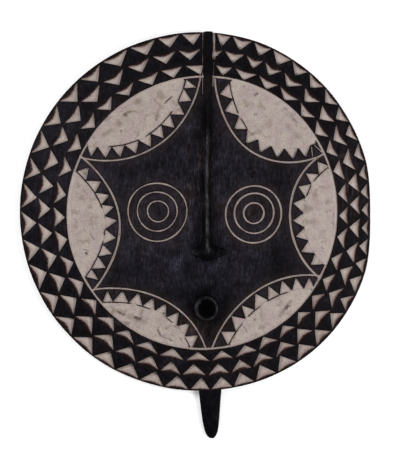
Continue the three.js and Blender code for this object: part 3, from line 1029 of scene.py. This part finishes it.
# The frame's corner in plan is the rim's right side and the top of the nose.
def middleInFrame():
    bearings = np.arange(0, 360, 0.25)
    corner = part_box("mask")[1]
    reach = polar(rimRadius(bearings), bearings)[:, 0].max()
    return corner[0] - reach / 1000, corner[1] - nose["places"][0][0] / 1000


def liftIntoFrame(piece):
    mesh = piece.data
    places = pointsOf(mesh)
    x, y, level = places.T
    height = level + faceHeight(x, y)
    isBack = (level < backLevel) & (rimShare(x, y) < backShare)
    pigment = pigmentAt(x, y, level)
    away = awayFromPigment(x, y, level, pigment)
    values = {
        "pigment": pigment, "dust": dustAt(x, y, away), "shade": shadeAt(x, y, pigment),
        "chalkAndLight": chalkAndLightAt(x, y, pigment), "rubbedAndShaded": rubbedAndShadedAt(x, y, level, away),
        "brown": placesSum(x, y, brownPlaces), "worn": highlightAt(x, y, level), "back": isBack,
        "run": np.interp(rimShare(x, y), stainRun["shares"], (0, 1)) * isBack}
    for name, value in values.items():
        storeValue(mesh, name, value)
    wobble = wobbleAt(places)
    wobble[:, 2] *= np.clip(height / disc["rimThickness"], 0, 1) * ~isBack
    lifted = asPoints(x, y, height) + wobble
    lifted = lifted / 1000 + np.array([*middleInFrame(), 0])
    lifted[:, 2] = np.maximum(lifted[:, 2], 0)
    mesh.vertices.foreach_set("co", lifted.ravel())
    mesh.update()


liftIntoFrame(carving)
carving.data.shade_smooth()
carving.data.set_sharp_from_angle(angle=math.radians(disc["sharpAngle"]))
print("carving lifted onto its dome")


def newGroup(name, inputs, outputs):
    tree = bpy.data.node_groups.new(name, "ShaderNodeTree")
    for label, value in inputs.items():
        kind = "Vector" if value is None else "Color" if isinstance(value, tuple) else "Float"
        socket = tree.interface.new_socket(label, in_out="INPUT", socket_type="NodeSocket" + kind)
        if value is not None:
            socket.default_value = value
    for label, kind in outputs.items():
        tree.interface.new_socket(label, in_out="OUTPUT", socket_type="NodeSocket" + kind)
    return tree, tree.nodes.new("NodeGroupInput").outputs


def placeGroup(tree, group, inputs):
    return addNode(tree, "ShaderNodeGroup", inputs, node_tree=group).outputs


def mixColours(tree, factor, a, b):
    mix = addNode(tree, "ShaderNodeMix", {0: factor, 6: a, 7: b}, data_type="RGBA")
    return mix.outputs[2]


def noiseValue(tree, vector, scale, detail=3.0, roughness=0.55, distortion=0.0):
    node = addNode(tree, "ShaderNodeTexNoise", {
        "Vector": vector, "Scale": scale, "Detail": detail, "Roughness": roughness, "Distortion": distortion})
    return node.outputs[0]


# Turns a value into a mask that rises from low to high.
def rising(tree, value, low, high):
    node = addNode(tree, "ShaderNodeMapRange", {"Value": value, "From Min": low, "From Max": high},
                   interpolation_type="SMOOTHSTEP")
    return node.outputs[0]


# The masks rise between the two values of each pair.
grainLook = {
    "bendScale": 9.0,
    "bend": 0.02,
    "streaks": (0.35, 0.68),
    "fibres": (0.35, 0.65),
    "fibreShare": 0.45,
}


# Long fibres along Y: broad streaks and fine fibres as masks, and the raised grain as a height.
def grainGroup():
    tree, given = newGroup(
        "Wood grain", {"Vector": None, "Width": 0.004, "Length": 14.0, "Fibre": 0.0011},
        {"Streaks": "Float", "Fibres": "Float", "Height": "Float"})
    squeeze = combineAxes(tree, 1.0, mathNode(tree, "DIVIDE", 1.0, given["Length"]), 1.0)
    bend = noiseValue(tree, given["Vector"], grainLook["bendScale"], detail=1.0)
    sway = combineAxes(tree, times(tree, bend, grainLook["bend"]))
    drawn = vectorMath(tree, "MULTIPLY", vectorMath(tree, "ADD", given["Vector"], sway), squeeze)
    streaks, fibres = (noiseValue(tree, drawn, mathNode(tree, "DIVIDE", 1.0, given[key]), detail=detail)
                       for key, detail in (("Width", 4.0), ("Fibre", 2.0)))
    addNode(tree, "NodeGroupOutput", {
        "Streaks": rising(tree, streaks, *grainLook["streaks"]),
        "Fibres": rising(tree, fibres, *grainLook["fibres"]),
        "Height": mixNumbers(tree, grainLook["fibreShare"], streaks, fibres)})
    return tree


# The noise behind the pigment's clouds, mottle, blots and scars, and behind the parts where scars are kept:
# scale, detail, distortion, and the two values between which its mask rises.
pigmentNoise = {
    "clouds": (55.0, 3.0, 0.0, 0.4, 0.6),
    "mottle": (480.0, 3.0, 0.0, 0.35, 0.68),
    "blots": (60.0, 3.5, 0.4, 0.53, 0.70),
    "scars": (330.0, 1.0, 0.5, 0.63, 0.70),
    "kept": (50.0, 1.0, 0.0, 0.56, 0.64),
}
pigmentLook = {"raggedScale": 330.0, "filmTo": 0.9, "scarSqueeze": (0.28, 1.0, 1.0), "lines": 0.1}


def noiseMask(tree, vector, name):
    scale, detail, distortion, low, high = pigmentNoise[name]
    return rising(tree, noiseValue(tree, vector, scale, detail=detail, distortion=distortion), low, high)


# Old chalky pigment: where it still lies in the cuts, the thin film that it leaves around them, and its
# colour with clouds, blots and small dark scars.
def pigmentGroup():
    tree, given = newGroup(
        "Worn pigment",
        {"Vector": None, "Cover": 0.0, "Streaks": 0.5, "Softness": 0.35, "Raggedness": 0.5, "Blots": 0.7,
         "Mottle": 0.4, "Scars": 0.8, "Scar Angle": 0.8, "Colour": (0.4, 0.33, 0.3, 1),
         "Blush": (0.36, 0.28, 0.28, 1), "Stain": (0.2, 0.14, 0.11, 1), "Dirt": (0.05, 0.04, 0.035, 1)},
        {"Mask": "Float", "Film": "Float", "Colour": "Color"})
    vector = given["Vector"]
    ragged = minus(tree, noiseValue(tree, vector, pigmentLook["raggedScale"]), 0.5)
    cover = plus(tree, given["Cover"], times(tree, ragged, given["Raggedness"]))
    low = minus(tree, 1.0, given["Softness"])
    high = plus(tree, 1.0, given["Softness"])
    colour = mixColours(tree, noiseMask(tree, vector, "clouds"), given["Colour"], given["Blush"])
    for name, amount in (("mottle", given["Mottle"]), ("blots", given["Blots"])):
        spots = times(tree, noiseMask(tree, vector, name), amount)
        colour = mixColours(tree, spots, colour, given["Stain"])
    turned = addNode(tree, "ShaderNodeVectorRotate", {"Vector": vector, "Angle": given["Scar Angle"]},
                     rotation_type="Z_AXIS")
    drawn = vectorMath(tree, "MULTIPLY", turned.outputs[0], pigmentLook["scarSqueeze"])
    scars = times(tree, noiseMask(tree, drawn, "scars"), noiseMask(tree, vector, "kept"))
    colour = mixColours(tree, times(tree, scars, given["Scars"]), colour, given["Dirt"])
    lined = times(tree, given["Streaks"], pigmentLook["lines"])
    addNode(tree, "NodeGroupOutput", {
        "Mask": rising(tree, cover, low, high), "Film": rising(tree, cover, 0.0, pigmentLook["filmTo"]),
        "Colour": mixColours(tree, lined, colour, given["Stain"])})
    return tree


# A mark from one place to another, strongest along its middle. Only its plan counts, not its height.
def markGroup():
    tree, given = newGroup(
        "Mark", {"Vector": None, "From": None, "To": None, "Reach": 0.003, "Ragged": 0.0}, {"Mask": "Float"})
    away = vectorMath(tree, "SUBTRACT", given["Vector"], given["From"])
    run = vectorMath(tree, "SUBTRACT", given["To"], given["From"])
    along = vectorMath(tree, "DOT_PRODUCT", away, run, output=1)
    whole = vectorMath(tree, "DOT_PRODUCT", run, run, output=1)
    share = mathNode(tree, "DIVIDE", along, whole, clamp=True)
    apart = vectorMath(tree, "SUBTRACT", away, scaleVector(tree, run, share))
    distance = vectorMath(tree, "LENGTH", apart, output=1)
    distance = mathNode(tree, "MULTIPLY_ADD", given["Ragged"], given["Reach"], distance)
    addNode(tree, "NodeGroupOutput", {"Mask": rising(tree, distance, given["Reach"], 0.0)})
    return tree


woodGrain = grainGroup()
wornPigment = pigmentGroup()
handMark = markGroup()


def newMaterial(name):
    material = bpy.data.materials.new(name)
    material.use_nodes = True
    tree = material.node_tree
    return material, tree, tree.nodes["Principled BSDF"]


def objectVector(tree):
    return tree.nodes.new("ShaderNodeTexCoord").outputs["Object"]


# A material that has the wood grain in it already.
def newWood(name, look):
    material, tree, shader = newMaterial(name)
    vector = objectVector(tree)
    grain = placeGroup(tree, woodGrain, {
        "Vector": vector, "Width": look["streakWidth"], "Length": look["streakLength"],
        "Fibre": look["fibre"]})
    return material, tree, shader, vector, grain


# What both kinds of wood give their shader.
def finishWood(tree, shader, grain, look, colour, roughness):
    bump = addNode(tree, "ShaderNodeBump", {
        "Height": grain["Height"], "Strength": look["bump"], "Distance": look["bumpHeight"]})
    fillInputs(tree, shader, {
        "Base Color": colour, "Roughness": roughness, "Normal": bump.outputs["Normal"],
        "Specular IOR Level": look["gloss"]})


stainLook = {
    # soot is the darkest stain and also the painted shade on the nose's sides and foot and along cut edges.
    "soot": (0.0016, 0.0018, 0.0026, 1),
    "black": (0.0101, 0.0091, 0.0134, 1),
    "brown": (0.0140, 0.0090, 0.0092, 1),
    # worn is the colour of the painted highlight on the nose and the mouth's lip.
    "worn": (0.0230, 0.0218, 0.0255, 1),
    "umber": (0.0500, 0.0310, 0.0260, 1),
    "rust": (0.0720, 0.0285, 0.0215, 1),
    "pigment": (0.345, 0.300, 0.272, 1),
    "blush": (0.315, 0.258, 0.252, 1),
    "chalkAndLight": (0.44, 0.38, 0.35, 1),
    "stain": (0.135, 0.102, 0.076, 1),
    "dirt": (0.022, 0.017, 0.014, 1),
    "softness": 0.45,
    "raggedness": 0.9,
    "blots": 0.45,
    "scars": 0.45,
    "film": 0.35,
    "dust": 0.25,
    "brownScale": 26.0,
    "brownMask": (0.5, 1.1),
    "tooth": 2.9,
    "toothScale": 200.0,
    "toothSqueeze": (1.0, 0.8, 1.0),
    "clouds": 2.9,
    "cloudScale": 42.0,
    "lines": 0.95,
    "brownLines": 1.2,
    "streakWidth": 0.0042,
    "streakLength": 16.0,
    "fibre": 0.0013,
    "polish": (0.5, 0.62),
    "pigmentRoughness": 0.88,
    "bump": 0.5,
    "bumpHeight": 0.0006,
    "gloss": 0.02,
}


# Marks that the eye finds first: scratches in the pigment down to the wood, brown smudges on it, and paler
# scuffs on the dark face. Each has its two ends, how far it reaches to either side, and how strong it is.
scratches = (
    (-59.2, 175.7, -48.2, 185.3, 1.6, 0.9), (-122.1, 156.0, -121.6, 155.4, 3.2, 0.7),
    (-129.3, 130.4, -129.3, 130.4, 2.6, 0.6), (84.5, 188.0, 88.3, 190.6, 2.4, 0.65),
    (84.2, 157.0, 86.1, 157.6, 2.7, 0.45), (81.1, 126.2, 81.1, 126.2, 2.4, 0.7),
    (-134.2, -157.3, -124.6, -161.8, 2.2, 0.7), (-106.2, -166.6, -99.0, -169.1, 2.8, 0.85),
    (-61.4, -160.2, -61.4, -160.2, 2.1, 0.7), (-70.6, -186.4, -66.9, -193.8, 2.1, 0.65),
    (-65.4, -196.2, -47.0, -203.5, 1.8, 0.4), (134.4, -151.8, 136.6, -148.6, 3.2, 0.7),
    (84.3, -169.9, 84.3, -169.9, 2.6, 0.5), (-184.6, -64.0, -184.0, -64.8, 2.6, 0.85),
    (-188.8, -58.2, -180.8, -60.5, 1.3, 0.5), (-178.4, -33.1, -171.7, -42.2, 1.4, 0.5),
    (-187.7, 64.0, -186.9, 62.9, 3.0, 0.6), (164.3, 13.8, 164.3, 4.6, 1.4, 0.45),
    (210.1, 0.0, 210.1, -22.7, 1.4, 0.35))
smudges = (
    (-102.6, 177.3, -101.6, 177.9, 6.4, 0.7), (-132.3, 142.9, -131.5, 143.5, 5.8, 0.65),
    (-156.6, 124.0, -143.7, 132.6, 4.2, 0.6), (-64.8, 168.8, -64.8, 168.8, 4.2, 0.5),
    (136.0, 139.5, 140.6, 132.6, 4.5, 0.35), (150.9, 123.5, 153.0, 122.4, 6.7, 0.45),
    (124.3, -163.2, 141.1, -141.9, 3.8, 0.6), (94.7, -182.6, 95.4, -181.9, 5.1, 0.6),
    (-192.2, 24.0, -192.2, 24.0, 4.5, 0.6), (-178.4, 10.4, -178.4, 9.4, 4.5, 0.55),
    (-199.0, 47.8, -197.1, 41.4, 4.2, 0.35), (-201.3, -21.6, -201.3, -22.6, 4.8, 0.4),
    (179.2, 31.0, 179.2, 25.4, 6.7, 0.3), (174.7, -13.6, 177.9, -14.2, 5.8, 0.4),
    (202.1, 62.9, 202.1, 62.9, 3.8, 0.45), (-145.4, -149.8, -130.2, -159.4, 3.5, 0.5),
    (-117.4, -164.6, -90.1, -173.9, 4.5, 0.4))
scuffs = (
    (-22.7, -54.6, -47.0, -91.4, 6.7, 0.5), (-40.6, -72.2, -58.2, -97.8, 5.8, 0.35),
    (-22.2, -5.0, -18.2, -37.0, 5.1, 0.4), (-85.4, -57.8, -71.0, -69.0, 8.0, 0.35),
    (-131.8, -53.0, -122.2, -64.2, 7.2, 0.3), (23.4, -70.6, 36.2, -88.2, 7.2, 0.25))
markLook = {"spread": 1.5, "ragged": 1.6, "raggedScale": 380.0}


def readValue(tree, name):
    return addNode(tree, "ShaderNodeAttribute", {}, attribute_name=name).outputs["Fac"]


def placeMarks(tree, vector, marks):
    middleX, middleY = middleInFrame()
    plan = vectorMath(tree, "MULTIPLY", vector, (1, 1, 0))
    ragged = minus(tree, noiseValue(tree, vector, markLook["raggedScale"]), 0.5)
    ragged = times(tree, ragged, markLook["ragged"])
    strongest = 0.0
    for startX, startY, endX, endY, reach, amount in marks:
        mask = placeGroup(tree, handMark, {
            "Vector": plan, "From": (startX / 1000 + middleX, startY / 1000 + middleY, 0),
            "To": (endX / 1000 + middleX, endY / 1000 + middleY, 0),
            "Reach": reach * markLook["spread"] / 1000, "Ragged": ragged})["Mask"]
        strongest = mathNode(tree, "MAXIMUM", times(tree, mask, amount), strongest)
    return strongest


# The stain goes from soot, which also stands for painted shade, to black and brown. It takes the painted
# highlight on the nose and the lip, and is then made uneven by its tooth, clouds and fibres.
def darkStain(tree, vector, grain):
    stain = mixColours(tree, readValue(tree, "rubbedAndShaded"), stainLook["soot"], stainLook["black"])
    patches = noiseValue(tree, vector, stainLook["brownScale"], detail=4.0)
    warm = plus(tree, readValue(tree, "brown"), patches)
    browned = times(tree, rising(tree, warm, *stainLook["brownMask"]), grain["Streaks"])
    stain = mixColours(tree, browned, stain, stainLook["brown"])
    # Painted highlight on the nose and the mouth's lip.
    stain = mixColours(tree, readValue(tree, "worn"), stain, stainLook["worn"])
    drawn = vectorMath(tree, "MULTIPLY", vector, stainLook["toothSqueeze"])
    lined = mathNode(tree, "MULTIPLY_ADD", readValue(tree, "brown"), stainLook["brownLines"], 1.0)
    lined = times(tree, lined, stainLook["lines"])
    tooth = noiseValue(tree, drawn, stainLook["toothScale"], detail=3.0, roughness=0.65)
    clouds = noiseValue(tree, vector, stainLook["cloudScale"], detail=4.0, roughness=0.6)
    uneven = placeMarks(tree, vector, scuffs)
    for value, amount in (
            (tooth, stainLook["tooth"]), (clouds, stainLook["clouds"]), (grain["Fibres"], lined)):
        apart = times(tree, minus(tree, value, 0.5), amount)
        uneven = plus(tree, uneven, apart)
    return scaleVector(tree, stain, mathNode(tree, "EXPONENT", uneven))


def stainedWood():
    material, tree, shader, vector, grain = newWood("stained wood with pigment", stainLook)
    pigment = placeGroup(tree, wornPigment, {
        "Vector": vector, "Cover": readValue(tree, "pigment"), "Streaks": grain["Streaks"],
        "Softness": stainLook["softness"], "Raggedness": stainLook["raggedness"],
        "Blots": plus(tree, readValue(tree, "brown"), stainLook["blots"]),
        "Scars": stainLook["scars"], "Colour": stainLook["pigment"], "Blush": stainLook["blush"],
        "Stain": stainLook["stain"], "Dirt": stainLook["dirt"]})
    dark = darkStain(tree, vector, grain)
    dusty = times(tree, readValue(tree, "dust"), stainLook["dust"])
    dark = mixColours(tree, dusty, dark, stainLook["umber"])
    hazed = times(tree, pigment["Film"], stainLook["film"])
    dark = mixColours(tree, hazed, dark, stainLook["rust"])
    pale = pigment["Colour"]
    for mask, colour in (
            (readValue(tree, "chalkAndLight"), "chalkAndLight"), (placeMarks(tree, vector, smudges), "stain"),
            (placeMarks(tree, vector, scratches), "dirt"), (readValue(tree, "shade"), "rust")):
        pale = mixColours(tree, mask, pale, stainLook[colour])
    polished = mixNumbers(tree, grain["Streaks"], *stainLook["polish"])
    rough = mixNumbers(tree, pigment["Mask"], polished, stainLook["pigmentRoughness"])
    finishWood(tree, shader, grain, stainLook, mixColours(tree, pigment["Mask"], dark, pale), rough)
    return material


backLook = {
    "heart": (0.060, 0.036, 0.023, 1),
    "pale": (0.125, 0.080, 0.052, 1),
    "soot": (0.018, 0.013, 0.010, 1),
    "sootScale": 6.0,
    "sootMask": (0.45, 0.7),
    "sootShare": 0.65,
    "runMask": (0.35, 0.6),
    "streakWidth": 0.006,
    "streakLength": 22.0,
    "fibre": 0.0013,
    "polish": (0.6, 0.75),
    "bump": 0.6,
    "bumpHeight": 0.0008,
    "gloss": 0.2,
}


def bareWood():
    material, tree, shader, vector, grain = newWood("bare wood of the back", backLook)
    wood = mixColours(tree, grain["Streaks"], backLook["heart"], backLook["pale"])
    sooty = rising(tree, noiseValue(tree, vector, backLook["sootScale"], detail=4.0), *backLook["sootMask"])
    wood = mixColours(tree, times(tree, sooty, backLook["sootShare"]), wood, backLook["soot"])
    apart = minus(tree, noiseValue(tree, vector, stainRun["scale"], detail=4.0), 0.5)
    run = mathNode(tree, "MULTIPLY_ADD", apart, stainRun["uneven"], readValue(tree, "run"))
    wood = mixColours(tree, rising(tree, run, *backLook["runMask"]), wood, stainLook["black"])
    finishWood(tree, shader, grain, backLook, wood, mixNumbers(tree, grain["Streaks"], *backLook["polish"]))
    return material


def dressCarving():
    mesh = carving.data
    mesh.materials.clear()
    mesh.materials.append(stainedWood())
    mesh.materials.append(bareWood())
    back = np.empty(len(mesh.vertices))
    mesh.attributes["back"].data.foreach_get("value", back)
    slots = [int(all(back[v] > 0.5 for v in polygon.vertices)) for polygon in mesh.polygons]
    mesh.polygons.foreach_set("material_index", slots)
    mesh.update()


dressCarving()
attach(carving, "root")
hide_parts("mask")
print("carving dressed")


studio = {
    "centre": (0.0206, 0.0104),
    "viewHeight": 0.731,
    "viewLevel": 0.015,
    "viewReach": 50.0,
    "lens": 300.0,
    "sensor": 36.0,
    "floorSize": 8.0,
    "floorColour": (0.86, 0.86, 0.86, 1),
    "floorRoughness": 0.9,
    "floorGlow": 0.25,
    "glowFrom": (0.22, 0.25),
    "lights": {"key light": ((-2.0, 1.1, 2.3), 1.4, 75.0), "fill light": ((2.2, -0.8, 2.2), 1.8, 90.0)},
    "skyStrength": 0.5,
    "skyFade": (0.84, 0.95),
}


def plainFloor():
    half = studio["floorSize"] / 2
    corners = [(-half, -half, 0), (half, -half, 0), (half, half, 0), (-half, half, 0)]
    floor = newPiece("floor", corners, [(0, 1, 2, 3)])
    material, tree, shader = newMaterial("pale floor")
    away = vectorMath(tree, "DISTANCE", objectVector(tree), (*studio["centre"], 0), output=1)
    glowing = rising(tree, away, *studio["glowFrom"])
    fillInputs(tree, shader, {
        "Base Color": studio["floorColour"], "Roughness": studio["floorRoughness"],
        "Emission Color": mixColours(tree, glowing, (0, 0, 0, 1), (1, 1, 1, 1)),
        "Emission Strength": studio["floorGlow"]})
    floor.data.materials.append(material)


def softLight(name, place, size, power):
    light = bpy.data.lights.new(name, "AREA")
    light.shape = "DISK"
    light.size = size
    light.energy = power
    lamp = placeObject(name, light)
    lamp.location = place
    lamp.rotation_euler = Vector(place).to_track_quat("Z", "Y").to_euler()


# A pale sky that is dark straight above, so that the camera isn't mirrored in the polish or the mouth lit.
def softSky():
    world = bpy.data.worlds.new("studio sky")
    world.use_nodes = True
    bpy.context.scene.world = world
    tree = world.node_tree
    direction = tree.nodes.new("ShaderNodeTexCoord").outputs["Generated"]
    height = addNode(tree, "ShaderNodeSeparateXYZ", {0: direction}).outputs[2]
    low, high = studio["skyFade"]
    bright = addNode(tree, "ShaderNodeMapRange", {
        "Value": height, "From Min": low, "From Max": high, "To Min": 1.0, "To Max": 0.0})
    strength = times(tree, bright.outputs[0], studio["skyStrength"])
    fillInputs(tree, tree.nodes["Background"], {"Color": (1, 1, 1, 1), "Strength": strength})


def camera():
    view = bpy.data.cameras.new("camera")
    view.lens = studio["lens"]
    view.sensor_width = studio["sensor"]
    view.clip_end = studio["viewReach"]
    stand = placeObject("camera", view)
    distance = studio["viewHeight"] * studio["lens"] / studio["sensor"]
    stand.location = (*studio["centre"], studio["viewLevel"] + distance)
    bpy.context.scene.camera = stand


plainFloor()
softSky()
for name, (place, size, power) in studio["lights"].items():
    softLight(name, place, size, power)
camera()
bpy.context.scene.view_settings.view_transform = "Standard"
print("studio ready")
